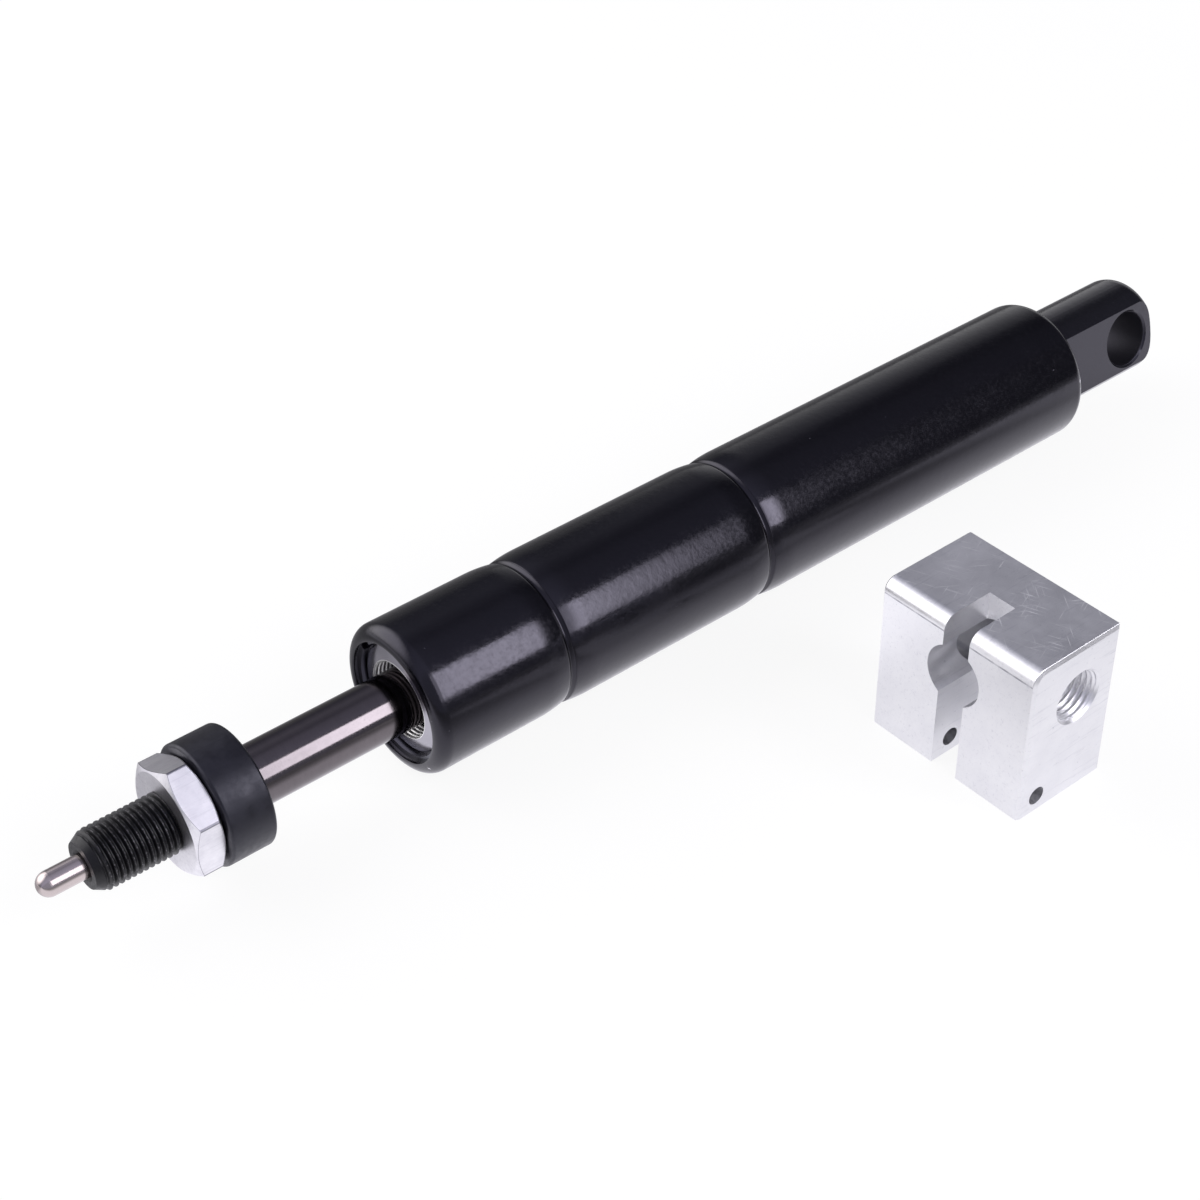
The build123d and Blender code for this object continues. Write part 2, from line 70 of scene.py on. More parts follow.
CAP_BORE = 0.00675
ROD_RADIUS = 0.0050
ROD_SPIGOT_RADIUS = 0.00398
ROD_SPIGOT_LENGTH = 0.0055
PIN_BORE = 0.00206
NUT_CORNER_TURN = math.radians(83.65)
NUT_FACE_RADIUS = 0.00825
NUT_CHAMFER_ANGLE = math.radians(30.0)
EYE_TURN = math.radians(13.3)
EYE_AXIS = (0.0, math.cos(EYE_TURN), math.sin(EYE_TURN))
EYE_BORE = 0.0052
HEAD_ROUNDING = 0.0024
HEAD_HOLE_SETBACK = 0.0080
HEAD_HOLE_BELOW_TOP = 0.0099
HEAD_HOLE_CHAMFER = 0.0004

# The rod's thread, and the threads inside the head's hole and the cap; ROWS are rings to a turn
THREAD_PITCH = 0.001
THREAD_CREST = 0.00495
THREAD_DEPTH = 0.00058
THREAD_CORE = 0.00445
THREAD_ROWS = 16
NOSE_CHAMFER_LENGTH = 0.0020
NOSE_CHAMFER_DROP = 0.0011
NOSE_THREAD_FADE = 0.0009
NOSE_MOUTH_RADIUS = 0.0026
NOSE_MOUTH_DEPTH = 0.0006
HEAD_THREAD_WALL = 0.00448
HEAD_THREAD_OUTSIDE = HEAD_THREAD_WALL + 0.0002
HEAD_THREAD_RIDGE = 0.00042
HEAD_THREAD_TURNS = 9.6
HEAD_THREAD_FADE_ROWS = 10
CAP_THREAD_PITCH = 0.00075
CAP_THREAD_WALL = CAP_BORE - SEAT_CLEARANCE
CAP_THREAD_OUTSIDE = CAP_BORE + 0.0001
CAP_THREAD_RIDGE = 0.00014
CAP_THREAD_LENGTH = 0.0034
CAP_THREAD_SETBACK = 0.00005
CAP_THREAD_FADE = 0.0005
INSIDE_THREAD_ROWS = 14
EDGE_BREAK = 0.0001


# Building of node trees

class Nodes:
    """Short ways to add nodes to one tree and to join them."""

    def __init__(self, tree):
        self.tree = tree

    def add(self, kind, **settings):
        node = self.tree.nodes.new(kind)
        for key, value in settings.items():
            setattr(node, key, value)
        return node

    def feed(self, target, value):
        """Give a socket a constant, or link another socket to it."""
        if isinstance(value, (int, float, tuple)):
            target.default_value = value
        else:
            self.tree.links.new(value, target)

    def math(self, operation, a, b=0.0):
        node = self.add("ShaderNodeMath", operation=operation)
        self.feed(node.inputs[0], a)
        self.feed(node.inputs[1], b)
        return node.outputs[0]

    def product(self, first, *others):
        for other in others:
            first = self.math("MULTIPLY", first, other)
        return first

    def vector(self, operation, a, b=(0.0, 0.0, 0.0)):
        node = self.add("ShaderNodeVectorMath", operation=operation)
        self.feed(node.inputs[0], a)
        self.feed(node.inputs[1], b)
        return node.outputs["Value" if operation in ("DISTANCE", "LENGTH") else "Vector"]

    def parts(self, vector):
        """The X, Y and Z of a vector, by name."""
        node = self.add("ShaderNodeSeparateXYZ")
        self.feed(node.inputs[0], vector)
        return node.outputs

    def span(self, value, low, high, to_low=0.0, to_high=1.0, smooth=False):
        """Take the span from low to high to another one; outside it the ends hold."""
        node = self.add("ShaderNodeMapRange")
        if smooth:
            node.interpolation_type = "SMOOTHSTEP"
        sockets = ("Value", "From Min", "From Max", "To Min", "To Max")
        for socket, part in zip(sockets, (value, low, high, to_low, to_high)):
            self.feed(node.inputs[socket], part)
        return node.outputs["Result"]

    def blend(self, amount, first, second, kind="MIX"):
        node = self.add("ShaderNodeMix", data_type="RGBA", blend_type=kind)
        self.feed(node.inputs["Factor"], amount)
        colours = [socket for socket in node.inputs if socket.type == "RGBA"]
        self.feed(colours[0], first)
        self.feed(colours[1], second)
        return [socket for socket in node.outputs if socket.type == "RGBA"][0]

    def ramp(self, value, steps):
        """A colour by position; a step is (position, grey level or colour)."""
        node = self.add("ShaderNodeValToRGB")
        elements = node.color_ramp.elements
        while len(elements) < len(steps):
            elements.new(0.5)
        for element, (position, colour) in zip(elements, steps):
            element.position = position
            element.color = (colour if isinstance(colour, tuple) else (colour,) * 3) + (1,)
        self.feed(node.inputs[0], value)
        return node.outputs["Color"]

    def rays(self):
        """Whether the camera sees this directly, and whether it sees it in or through a surface."""
        ray = self.add("ShaderNodeLightPath").outputs
        return ray["Is Camera Ray"], self.math("MAXIMUM", ray["Is Glossy Ray"], ray["Is Transmission Ray"])


class Surface(Nodes):
    """A material whose looks are worked out from the object's own coordinates."""

    def __init__(self, name, **sockets):
        self.material = bpy.data.materials.new(name)
        self.material.use_nodes = True
        super().__init__(self.material.node_tree)
        self.shader = self.tree.nodes["Principled BSDF"]
        self.finish(**sockets)
        place = self.add("ShaderNodeTexCoord").outputs
        self.place, self.normal = place["Object"], place["Normal"]

    def finish(self, **sockets):
        """Set the shader's sockets, as in finish(Base_Color=tone)."""
        for socket, value in sockets.items():
            self.feed(self.shader.inputs[socket.replace("_", " ")], value)

    def stretched(self, stretch, turn):
        place = self.place
        if any(turn):
            turned = self.add("ShaderNodeMapping")
            turned.inputs["Rotation"].default_value = turn
            self.feed(turned.inputs["Vector"], place)
            place = turned.outputs[0]
        node = self.add("ShaderNodeMapping")
        node.inputs["Scale"].default_value = stretch
        self.feed(node.inputs["Vector"], place)
        return node.outputs[0]

    def noise(self, scale, detail=3.0, roughness=0.55, stretch=(1, 1, 1), turn=(0, 0, 0)):
        node = self.add("ShaderNodeTexNoise")
        node.inputs["Scale"].default_value = scale
        node.inputs["Detail"].default_value = detail
        node.inputs["Roughness"].default_value = roughness
        self.feed(node.inputs["Vector"], self.stretched(stretch, turn))
        return node.outputs["Fac"]

    def cells(self, scale, stretch=(1, 1, 1), turn=(0, 0, 0)):
        node = self.add("ShaderNodeTexVoronoi")
        node.inputs["Scale"].default_value = scale
        self.feed(node.inputs["Vector"], self.stretched(stretch, turn))
        return node.outputs["Distance"]

    def axis(self, name):
        return self.parts(self.place)[name]

    def facing(self, name):
        return self.parts(self.normal)[name]

    def from_axis(self):
        """Distance from the X axis."""
        return self.vector("LENGTH", self.vector("MULTIPLY", self.place, (0.0, 1.0, 1.0)))

    def bump(self, *layers):
        """Each layer is (height, depth of the relief in metres)."""
        last = None
        for height, depth in layers:
            node = self.add("ShaderNodeBump")
            node.inputs["Strength"].default_value = 1.0
            node.inputs["Distance"].default_value = depth
            self.feed(node.inputs["Height"], height)
            if last is not None:
                self.feed(node.inputs["Normal"], last)
            last = node.outputs[0]
        self.finish(Normal=last)


def opaque(colour, factor=1.0):
    """The colour times a factor, with full alpha."""
    return tuple(min(1.0, part * factor) for part in colour) + (1,)


# Finishes

def gloss_paint(name, chips=(), ior=1.5, painted_lift=0.0, dull_bore=None):
    """Black gloss paint with faint orange peel and dust specks.

    Bare metal shows where chips, as (centre, size), are; painted_lift makes the black paler, which is
    painted light standing for the bright floor's reflection, and the paint is dull and darker inside
    dull_bore, which is (axis, radius).
    """
    s = Surface(name, IOR=ior, Specular_Tint=(0.86, 0.83, 1.0, 1.0))
    # Black with a bluish cast, and dust specks in some of the cells
    # painted_lift raises both blacks: painted light standing for the bright floor's reflection
    low = (0.0012 + painted_lift, 0.0012 + painted_lift, 0.0020 + painted_lift * 1.2, 1)
    high = (0.0024 + painted_lift, 0.0023 + painted_lift, 0.0036 + painted_lift * 1.2, 1)
    tone = s.blend(s.noise(55), low, high)
    speck = s.span(s.cells(420), 0.035, 0.07, 1.0, 0.0)
    speck = s.product(speck, s.span(s.noise(900, detail=1), 0.60, 0.66))
    tone = s.blend(speck, tone, (0.11, 0.11, 0.13, 1))
    rough = s.span(s.noise(240, detail=4), 0.3, 0.7, 0.11, 0.16)
    rough = s.math("ADD", rough, s.span(s.noise(1500, roughness=0.7), 0.42, 0.72, 0.0, 0.12))
    rough = s.math("ADD", rough, s.product(speck, 0.4))
    if chips:
        # The noise makes each chip's edge ragged
        bare = 0.0
        for centre, size in chips:
            ragged = s.product(s.noise(2600, detail=4, roughness=0.7), size * 2.2)
            edge = s.math("ADD", s.vector("DISTANCE", s.place, centre), ragged)
            bare = s.math("MAXIMUM", bare, s.span(edge, size * 1.58, size * 1.66, 1.0, 0.0))
        tone = s.blend(bare, tone, (0.62, 0.62, 0.60, 1))
        rough = s.math("ADD", rough, s.product(bare, 0.22))
        s.finish(Metallic=bare)
    if dull_bore:
        # The cross product with the axis gives the distance from it
        axis, radius = dull_bore
        away = s.vector("LENGTH", s.vector("CROSS_PRODUCT", s.place, axis))
        inside = s.span(away, radius + 0.00005, radius + 0.00025, 1.0, 0.0)
        tone = s.blend(inside, tone, (0.004, 0.004, 0.006, 1))
        rough = s.math("MAXIMUM", rough, s.product(inside, 0.55))
    s.finish(Base_Color=tone, Roughness=rough)
    s.bump((s.noise(800, detail=2), 0.0000150), (s.noise(2400, detail=2), 0.0000035))
    return s.material


def turned_metal(name, colour, roughness, variation=0.12, relief=0.0000012):
    """Metal with fine tool or polishing marks that run round the X axis."""
    s = Surface(name, Metallic=1.0)
    marks = s.noise(2200, detail=4, roughness=0.7, stretch=(1.0, 0.05, 0.05))
    cloud = s.math("ADD", s.product(marks, 0.5), s.product(s.noise(130), 0.5))
    tone = s.blend(cloud, opaque(colour, 1 - variation), opaque(colour, 1 + variation))
    s.finish(Base_Color=tone, Roughness=s.span(marks, 0.25, 0.75, roughness * 0.8, roughness * 1.25))
    s.bump((marks, relief))
    return s.material


def polished_rod(name):
    """Dark chromed rod: polishing marks round it, brownish blotches and fine dark grains."""
    s = Surface(name, Metallic=1.0)
    polish = s.noise(3000, detail=5, roughness=0.75, stretch=(1.0, 0.04, 0.04))
    blotch = s.noise(420, detail=5, roughness=0.7)
    grain = s.noise(5200, detail=2)
    cloud = s.math("ADD", s.product(polish, 0.35), s.product(blotch, 0.65))
    tone = s.blend(cloud, (0.110, 0.099, 0.104, 1), (0.175, 0.156, 0.165, 1))
    tone = s.blend(s.span(grain, 0.60, 0.75, 0.0, 0.35), tone, (0.060, 0.052, 0.054, 1))
    s.finish(Base_Color=tone, Roughness=s.span(polish, 0.25, 0.75, 0.09, 0.17))
    s.bump((polish, 0.0000016), (blotch, 0.0000030), (grain, 0.0000010))
    return s.material


def rubber(name, colour, roughness):
    """Moulded rubber: satin, finely grained, with paler rubbed patches."""
    s = Surface(name, IOR=1.5, Specular_Tint=(0.86, 0.86, 1.0, 1.0))
    patches = s.noise(170, detail=6, roughness=0.6)
    worn = tuple(part * 2.6 + 0.004 for part in colour)
    fine = s.span(s.noise(900, detail=4), 0.3, 0.7, roughness - 0.08, roughness + 0.06)
    s.finish(
        Base_Color=s.blend(s.span(patches, 0.45, 0.72), opaque(colour), opaque(worn)),
        Roughness=s.math("ADD", fine, s.span(patches, 0.40, 0.65, -0.05, 0.08)),
    )
    s.bump((s.noise(5200), 0.000004), (s.noise(700), 0.000006))
    return s.material


def moulded_plastic(name, colour):
    """Matt plastic with faint flow marks."""
    s = Surface(name, IOR=1.46)
    flow = s.noise(320, detail=4, stretch=(1, 0.5, 0.5))
    s.finish(
        Base_Color=s.blend(flow, opaque(colour, 0.8), opaque(colour, 1.25)),
        Roughness=s.span(s.noise(1200), 0.3, 0.7, 0.42, 0.58),
    )
    s.bump((s.noise(3800, detail=2), 0.000003))
    return s.material


def bright_zinc(name):
    """Zinc-plated nut: near white, with marks along its flats, and painted shade as dark lines at their
    edges.
    """
    s = Surface(name, Metallic=1.0)
    cloud = s.noise(420, detail=5, roughness=0.65)
    drawn = s.noise(2600, detail=5, roughness=0.75, stretch=(0.04, 1, 1))
    tone = s.blend(s.span(cloud, 0.3, 0.7), (0.66, 0.65, 0.69, 1), (0.80, 0.79, 0.82, 1))
    tone = s.blend(s.span(drawn, 0.52, 0.75, 0.0, 0.55), tone, (0.46, 0.46, 0.50, 1))
    # Turned about X, the hexagon repeats every sixth, and the sixths mirror each other
    turn = s.math("ARCTAN2", s.axis("Z"), s.axis("Y"))
    from_corner = s.math("PINGPONG", s.math("SUBTRACT", turn, NUT_CORNER_TURN), math.pi / 6)
    # Painted shade: dark lines along the hexagon's corners
    edges = s.span(from_corner, 0.018, 0.030, 1.0, 0.0)
    out = s.from_axis()
    # A chamfer's cone has the face's radius at the nut's end and grows inwards
    for end, side in ((NUT_FRONT, -1.0), (NUT_REAR, 1.0)):
        along = s.product(s.math("SUBTRACT", s.axis("X"), end), side / math.tan(NUT_CHAMFER_ANGLE))
        under = s.math("SUBTRACT", s.math("ADD", along, NUT_FACE_RADIUS), out)
        # Painted shade: a dark line just inside where each chamfer meets the flats
        line = s.product(s.span(under, 0.00003, 0.00007), s.span(under, 0.00015, 0.00022, 1.0, 0.0))
        edges = s.math("MAXIMUM", edges, line)
    # The painted shade lines go on the flats only
    on_flat = s.span(s.math("ABSOLUTE", s.facing("X")), 0.15, 0.35, 0.8, 0.0)
    tone = s.blend(s.product(edges, on_flat), tone, (0.14, 0.14, 0.17, 1))
    s.finish(Base_Color=tone, Roughness=s.span(drawn, 0.3, 0.7, 0.29, 0.42))
    s.bump((drawn, 0.0000030), (cloud, 0.0000016))
    return s.material


def milled_alloy(name):
    """Milled aluminium: straight tool marks, short random scratches, painted shade on the level top and a
    painted shade line under the rounding.
    """
    s = Surface(name, Metallic=1.0)
    top = s.span(s.facing("Z"), 0.6, 0.9)
    # Painted shade: the level top face is painted darker, standing for the dim room it mirrors
    painted_shade_top = s.span(s.facing("Z"), 0.985, 0.998, 0.0, 0.8)
    cloud = s.noise(170, detail=5, roughness=0.65)
    grit = s.noise(1600, detail=4, roughness=0.7)
    marks = s.noise(1900, detail=4, roughness=0.75, stretch=(0.05, 1, 0.8))
    tone = s.blend(s.span(cloud, 0.3, 0.72), (0.88, 0.88, 0.90, 1), (0.96, 0.96, 0.97, 1))
    tone = s.blend(s.span(grit, 0.58, 0.8, 0.0, 0.30), tone, (0.62, 0.62, 0.67, 1))
    tone = s.blend(s.span(marks, 0.56, 0.8, 0.0, 0.60), tone, (0.58, 0.58, 0.63, 1))
    tone = s.blend(painted_shade_top, tone, (0.76, 0.76, 0.79, 1), kind="MULTIPLY")

    # Scratches are cells drawn out along several directions: (turn, scale, stretch)
    scratch = 0.0
    cuts = (
        (0.62, 2500, 0.035),
        (-0.38, 2800, 0.022),
        (1.20, 2300, 0.045),
        (2.15, 2600, 0.030),
        (2.75, 2400, 0.040),
    )
    for turn, scale, stretch in cuts:
        line = s.cells(scale, stretch=(1, stretch, 1), turn=(0, 0, turn))
        scratch = s.math("MAXIMUM", scratch, s.span(line, 0.08, 0.20, 1.0, 0.0))
    some = s.span(s.noise(230), 0.40, 0.66)
    scratch = s.product(scratch, some, s.span(top, 0.0, 1.0, 0.12, 1.0))
    tone = s.blend(s.product(scratch, 0.9), tone, (1.0, 1.0, 1.0, 1))
    pits = s.span(s.noise(1300, detail=5, roughness=0.75), 0.62, 0.74)
    tone = s.blend(s.product(pits, 0.55), tone, (0.42, 0.42, 0.47, 1))

    # Painted shade: a dark line where the rounding meets the front, broken up, and not on the slot's back
    # wall
    height = s.math("ABSOLUTE", s.math("SUBTRACT", s.axis("Z"), HEAD_HIGH.z - HEAD_ROUNDING))
    painted_crease_shade = s.product(
        s.span(height, 0.00008, 0.00020, 1.0, 0.0),
        s.span(s.facing("X"), 0.7, 0.9),
        s.span(s.axis("X"), HEAD_HIGH.x - 0.0016, HEAD_HIGH.x - 0.0008),
        s.span(s.noise(500), 0.30, 0.60, 0.3, 1.0),
        0.8,
    )
    tone = s.blend(painted_crease_shade, tone, (0.25, 0.25, 0.29, 1))
    rough = s.math("ADD", s.span(cloud, 0.3, 0.7, 0.32, 0.42), s.product(top, 0.06))
    s.finish(Base_Color=tone, Roughness=s.math("ADD", rough, s.product(scratch, 0.16)))
    s.bump((marks, 0.0000065), (grit, 0.0000070), (scratch, 0.000007))
    return s.material


def black_oxide(name):
    """Blackened thread: dull in the roots, with paler patches on the crests that are partly rubbed oxide
    and partly a painted glint.
    """
    s = Surface(name, Metallic=0.35)
    tone = s.blend(s.noise(600, detail=4), (0.0030, 0.0030, 0.0042, 1), (0.0100, 0.0096, 0.0125, 1))
    crest = s.span(s.from_axis(), THREAD_CREST - 0.00014, THREAD_CREST - 0.00004)
    # Paler patches on the crests: partly rubbed oxide, partly a painted highlight for the crests' glints
    rubbed = s.product(crest, s.span(s.noise(2600), 0.52, 0.68), 0.7)
    s.finish(
        Base_Color=s.blend(rubbed, tone, (0.20, 0.19, 0.21, 1)),
        Roughness=s.span(s.noise(2200), 0.3, 0.7, 0.30, 0.48),
    )
    s.bump((s.noise(4200), 0.000004))
    return s.material


def cap_finish(name):
    """Grey-black coated cap; the wall of its threaded bore is bare metal."""
    s = Surface(name, Metallic=1.0)
    tone = s.blend(s.noise(300, detail=4), (0.320, 0.311, 0.348, 1), (0.415, 0.405, 0.445, 1))
    bare = s.span(s.from_axis(), CAP_BORE + 0.00004, CAP_BORE + 0.00012, 1.0, 0.0)
    turning = s.noise(3000, stretch=(1, 0.06, 0.06))
    metal = s.blend(turning, (0.76, 0.76, 0.75, 1), (0.98, 0.98, 0.97, 1))
    s.finish(
        Base_Color=s.blend(bare, tone, metal),
        Roughness=s.math("ADD", s.span(s.noise(260), 0.3, 0.7, 0.16, 0.24), s.product(bare, 0.16)),
    )
    s.bump((s.noise(900), 0.000003), (s.product(turning, bare), 0.000012))
    return s.material


# Chips in the paint of the tube's rear edge and front rim: (centre, size)
chip_places = [
    ((TUBE_LOW.x + 0.0012, 0.0121, 0.0036), 0.0007),
    ((TUBE_LOW.x + 0.0011, 0.0124, 0.0018), 0.0005),
    ((TUBE_HIGH.x - 0.0004, 0.0086, -0.0078), 0.0005),
]
tube_paint = gloss_paint("tube_paint", chips=chip_places)
# The eye's black is made paler: painted light standing for the bright floor's reflection
lug_paint = gloss_paint("lug_paint", ior=1.58, painted_lift=0.004, dull_bore=(EYE_AXIS, EYE_BORE))
cap_paint = cap_finish("cap_paint")
rod_steel = polished_rod("rod_steel")
thread_black = black_oxide("thread_black")
zinc = bright_zinc("nut_zinc")
alloy = milled_alloy("head_milled")
pin_metal = turned_metal("pin_nickel", (0.52, 0.46, 0.45), 0.17, variation=0.10, relief=0.0000010)
stop_rubber = rubber("stop_rubber", (0.0036, 0.0036, 0.0062), 0.42)
seal_rubber = rubber("seal_rubber", (0.010, 0.010, 0.011), 0.58)
inner_steel = turned_metal("inner_steel", (0.50, 0.50, 0.51), 0.30)
ring_steel = turned_metal("ring_spring_steel", (0.10, 0.10, 0.12), 0.28)
bearing_brass = turned_metal("bearing_brass", (0.72, 0.53, 0.26), 0.28)
piston_alloy = turned_metal("piston_alloy", (0.76, 0.77, 0.78), 0.30)
guide_plastic = moulded_plastic("guide_plastic", (0.060, 0.060, 0.068))

finishes = {
    "pressure_tube": tube_paint,
    "eye_lug": lug_paint,
    "end_cap": cap_paint,
    "jam_nut": zinc,
    "release_head": alloy,
    "release_pin": pin_metal,
    "stop_ring": stop_rubber,
    "end_plug": piston_alloy,
    "end_plug_seal": seal_rubber,
    "floating_piston": piston_alloy,
    "floating_seal_rear": seal_rubber,
    "floating_seal_front": seal_rubber,
    "piston_body": inner_steel,
    "piston_wear_band": guide_plastic,
    "piston_seal": seal_rubber,
    "valve_seat": bearing_brass,
    "valve_seat_seal": seal_rubber,
    "valve_stem_seal": seal_rubber,
    "valve_tappet": inner_steel,
    "valve_retainer": inner_steel,
    "seal_support_ring": inner_steel,
    "rod_seal": seal_rubber,
    "seal_backup_ring": guide_plastic,
    "rod_guide": piston_alloy,
    "rod_guide_seal": seal_rubber,
    "guide_bush": bearing_brass,
    "rod_wiper": seal_rubber,
    "retaining_ring": ring_steel,
}
for node_name, material in finishes.items():
    node = nodes[node_name]
    node.data.materials.clear()
    node.data.materials.append(material)


# Meshes: rings round the X axis, joined in order and closed

def ring_mesh(name, rings, segments, *materials):
    """A ring is (x, radius), or (x, radius by angle)."""
    mesh = bmesh.new()
    rows = []
    for x, radius in rings:
        row = []
        for i in range(segments):
            turn = 2 * math.pi * i / segments
            r = radius(turn) if callable(radius) else radius
            row.append(mesh.verts.new((x, r * math.cos(turn), r * math.sin(turn))))
        rows.append(row)
    for near, far in zip(rows, rows[1:] + rows[:1]):
        for i in range(segments):
            k = (i + 1) % segments
            mesh.faces.new((near[i], near[k], far[k], far[i]))
    bmesh.ops.recalc_face_normals(mesh, faces=mesh.faces)
    data = bpy.data.meshes.new(name)
    mesh.to_mesh(data)
    mesh.free()
    data.polygons.foreach_set("use_smooth", [True] * len(data.polygons))
    data.set_sharp_from_angle(angle=math.radians(35.0))
    for material in materials:
        data.materials.append(material)
    piece = bpy.data.objects.new(name, data)
    bpy.context.scene.collection.objects.link(piece)
    return piece


def arc(centre, radius, start, end, steps):
    """Points (x, radius) of an arc from start to end, in degrees from +X towards the outside."""
    points = []
    for i in range(steps + 1):
        turn = math.radians(start + (end - start) * i / steps)
        points.append((centre[0] + radius * math.cos(turn), centre[1] + radius * math.sin(turn)))
    return points


def straight(start, end, steps, radius):
    """Points between start and end, without the ends."""
    return [(start + (end - start) * step / steps, radius) for step in range(1, steps)]


def groove_line(centre):
    """The outside of a rolled groove, from its rear shoulder to its front one."""
    dip_half, dip_floor_half = 0.00065, 0.00056
    dip_depth = GROOVE_DEPTH - GROOVE_SHOULDER_DEPTH
    dip_wall_share = 0.30
    long_way = GROOVE_SHOULDER_HALF - dip_half
    curve = (long_way ** 2 + GROOVE_SHOULDER_DEPTH ** 2) / (2 * GROOVE_SHOULDER_DEPTH)
    half = []
    for i in range(16):
        u = long_way * i / 16
        half.append((u - GROOVE_SHOULDER_HALF, math.sqrt(curve ** 2 - u ** 2) - curve))
    # The edge between shoulder and dip, a little softened
    half.append((-dip_half - long_way * 0.01, -GROOVE_SHOULDER_DEPTH * 0.995))
    half.append((-dip_half / 1.03, -GROOVE_SHOULDER_DEPTH * 1.10))
    half.append((-dip_half / 1.06, -GROOVE_SHOULDER_DEPTH * 1.25))
    for i in range(6):
        t = i / 5
        share = dip_wall_share + (1.0 - dip_wall_share) * math.sin(math.pi / 2 * t)
        half.append((-dip_floor_half * (1 - t), -GROOVE_SHOULDER_DEPTH - dip_depth * share))
    line = half + [(-u, drop) for u, drop in reversed(half[:-1])]
    return [(centre + u, TUBE_RADIUS + drop) for u, drop in line]


def thread_relief(phase):
    """Depth below the crest, from 0 to 1, over one turn: flat crest, 60 degree flanks, round root."""
    p = phase % 1.0
    distance = min(p, 1.0 - p)
    crest_half = 0.075
    root_half = 0.09
    if distance < crest_half:
        return 0.0
    if distance > 0.5 - root_half:
        return 1.0
    t = (distance - crest_half) / (0.5 - root_half - crest_half)
    return t * t * (3 - 2 * t) * 0.25 + t * 0.75


def rod_thread_at(x):
    """Radius by angle of the threaded end at x, with the nose chamfer cut across it."""
    into_chamfer = max(0.0, x - (ROD_NOSE - NOSE_CHAMFER_LENGTH))
    limit = THREAD_CREST - NOSE_CHAMFER_DROP * into_chamfer / NOSE_CHAMFER_LENGTH
    depth = THREAD_DEPTH * min(1.0, max(0.0, (ROD_NOSE - x) / NOSE_THREAD_FADE))

    def radius(turn):
        return min(limit, THREAD_CREST - depth * thread_relief(x / THREAD_PITCH - turn / (2 * math.pi)))

    return radius


def inside_thread_at(along, pitch, wall, ridge):
    """Radius by angle of a thread cut in a bore; ridge is its height at this place."""

    def radius(turn):
        return wall - ridge * (1.0 - thread_relief(along / pitch - turn / (2 * math.pi)))

    return radius


# Tube: the rolled ends and grooves in fine rings, so that the light runs over them without steps
rear_break = 0.00015
front_rim = ((0.00003, 0.00008), (0.00018, 0.0))  # behind the front face, outside the lip's radius
tube_line = [
    (TUBE_LOW.x + rear_break, REAR_LIP_RADIUS),
    (TUBE_LOW.x, REAR_LIP_RADIUS + rear_break),
]
tube_line += arc((TUBE_LOW.x + REAR_CORNER, TUBE_RADIUS - REAR_CORNER), REAR_CORNER, 180, 90, 14)
tube_line += straight(TUBE_LOW.x + REAR_CORNER, MIDDLE_GROOVE - GROOVE_SHOULDER_HALF, 12, TUBE_RADIUS)
tube_line += groove_line(MIDDLE_GROOVE)
tube_line += straight(
    MIDDLE_GROOVE + GROOVE_SHOULDER_HALF, FRONT_GROOVE - GROOVE_SHOULDER_HALF, 8, TUBE_RADIUS
)
tube_line += groove_line(FRONT_GROOVE)
tube_line += straight(FRONT_GROOVE + GROOVE_SHOULDER_HALF, TUBE_HIGH.x - FRONT_CORNER, 6, TUBE_RADIUS)
tube_line += arc((TUBE_HIGH.x - FRONT_CORNER, TUBE_RADIUS - FRONT_CORNER), FRONT_CORNER, 90, 0, 16)
tube_line += [(TUBE_HIGH.x - behind, FRONT_LIP_RADIUS + outside) for behind, outside in front_rim]
tube_line += [(TUBE_HIGH.x - FRONT_LIP, FRONT_LIP_RADIUS), (TUBE_HIGH.x - FRONT_LIP, TUBE_BORE)]
for groove in (FRONT_GROOVE, MIDDLE_GROOVE):
    for i in range(9):
        u = 1.0 - i / 4
        tube_line.append((groove + BEAD_HALF * u, TUBE_BORE - BEAD_HEIGHT * (1.0 - u * u)))
tube_line += [(TUBE_LOW.x + REAR_LIP, TUBE_BORE), (TUBE_LOW.x + REAR_LIP, REAR_LIP_RADIUS)]
tube = ring_mesh("tube_dressed", tube_line, 192, tube_paint)
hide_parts("pressure_tube")
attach(tube, "tube")

# Thread in the cap's bore, round the rod
cap_rings = []
cap_thread_rear, cap_thread_front = CAP_RIM - CAP_THREAD_LENGTH, CAP_RIM - CAP_THREAD_SETBACK
count = int((cap_thread_front - cap_thread_rear) / CAP_THREAD_PITCH * INSIDE_THREAD_ROWS)
for row in range(count + 1):
    x = cap_thread_rear + (cap_thread_front - cap_thread_rear) * row / count
    ridge = CAP_THREAD_RIDGE * min(1.0, (cap_thread_front - x) / CAP_THREAD_FADE)
    cap_rings.append((x, inside_thread_at(x, CAP_THREAD_PITCH, CAP_THREAD_WALL, ridge)))
cap_rings += [(cap_thread_front, CAP_THREAD_OUTSIDE), (cap_thread_rear, CAP_THREAD_OUTSIDE)]
cap_thread = ring_mesh("cap_bore_thread", cap_rings, 120, cap_paint)
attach(cap_thread, "tube")

